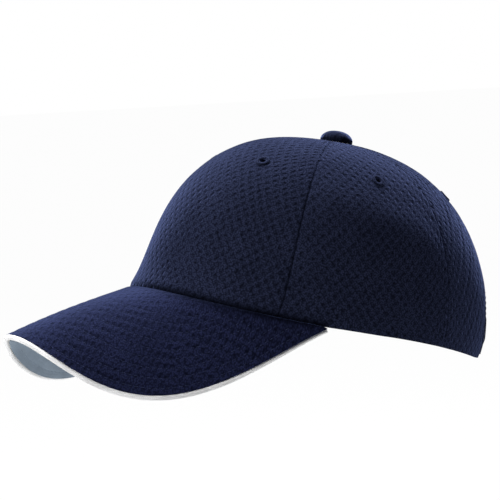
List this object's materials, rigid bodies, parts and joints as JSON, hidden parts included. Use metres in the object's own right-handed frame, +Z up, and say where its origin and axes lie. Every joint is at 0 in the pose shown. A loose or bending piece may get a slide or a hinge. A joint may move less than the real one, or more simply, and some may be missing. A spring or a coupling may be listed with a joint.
{
  "type": "bump cap",
  "caption": "Mesh cloth cap with a curved visor, a hook-and-loop rear strap and a removable hard shell with foam pads, worn against knocks to the head.",
  "frame": {"origin": "middle of the bounding box on the ground the cap stands on", "axes": "+Z up, +Y towards the back of the cap, +X towards the wearer's left; the cap stands on its visor's edge and its rear strap"},
  "size_m": [0.164, 0.2892, 0.1326],
  "materials": {
    "mesh_cloth": "matte",
    "thread": "satin",
    "tape": "matte",
    "steel": "satin",
    "sweatband_cloth": "matte",
    "strap_cloth": "matte",
    "hook_and_loop": "matte",
    "board_plastic": "matte",
    "under_cloth": "matte",
    "white_piping": "matte",
    "shell_plastic": "satin",
    "foam": "matte"
  },
  "bodies": {
    "cap": {"front_panel": "mesh_cloth", "side_panel_left": "mesh_cloth", "side_panel_right": "mesh_cloth", "rear_panel_left": "mesh_cloth", "rear_panel_right": "mesh_cloth", "eyelet_front_left": "thread", "eyelet_front_right": "thread", "eyelet_side_left": "thread", "eyelet_side_right": "thread", "eyelet_rear_left": "thread", "eyelet_rear_right": "thread", "seam_tape_front_left": "tape", "seam_tape_front_right": "tape", "seam_tape_rear_left": "tape", "seam_tape_rear_right": "tape", "seam_tape_back": "tape", "button_cover": "mesh_cloth", "button_rivet": "steel", "button_washer": "steel", "sweatband": "sweatband_cloth", "arch_binding": "tape", "loop_strap": "strap_cloth", "loop_pad": "hook_and_loop", "visor_top_cover": "mesh_cloth", "visor_board": "board_plastic", "visor_under_cover": "under_cloth", "visor_piping": "white_piping", "loop_patch_front": "hook_and_loop", "loop_patch_left": "hook_and_loop", "loop_patch_right": "hook_and_loop"},
    "closure": {"hook_strap": "strap_cloth", "hook_pad": "hook_and_loop"},
    "insert": {"hard_shell": "shell_plastic", "front_pad": "foam", "crown_pad": "foam", "rear_pad": "foam", "side_pad_left": "foam", "side_pad_right": "foam", "hook_patch_front": "hook_and_loop", "hook_patch_left": "hook_and_loop", "hook_patch_right": "hook_and_loop"}
  },
  "joints": [
    {"name": "insert_slide", "type": "slide", "parent": "cap", "child": "insert", "axis": [0, -0.2161, -0.9764], "range_m": [0, 0.16]},
    {"name": "strap_peel", "type": "hinge", "parent": "cap", "child": "closure", "pos_m": [-0.04922, 0.12166, 0.01862], "axis": [0.0431, 0.1606, 0.9861], "range_deg": [0, 110]}
  ]
}
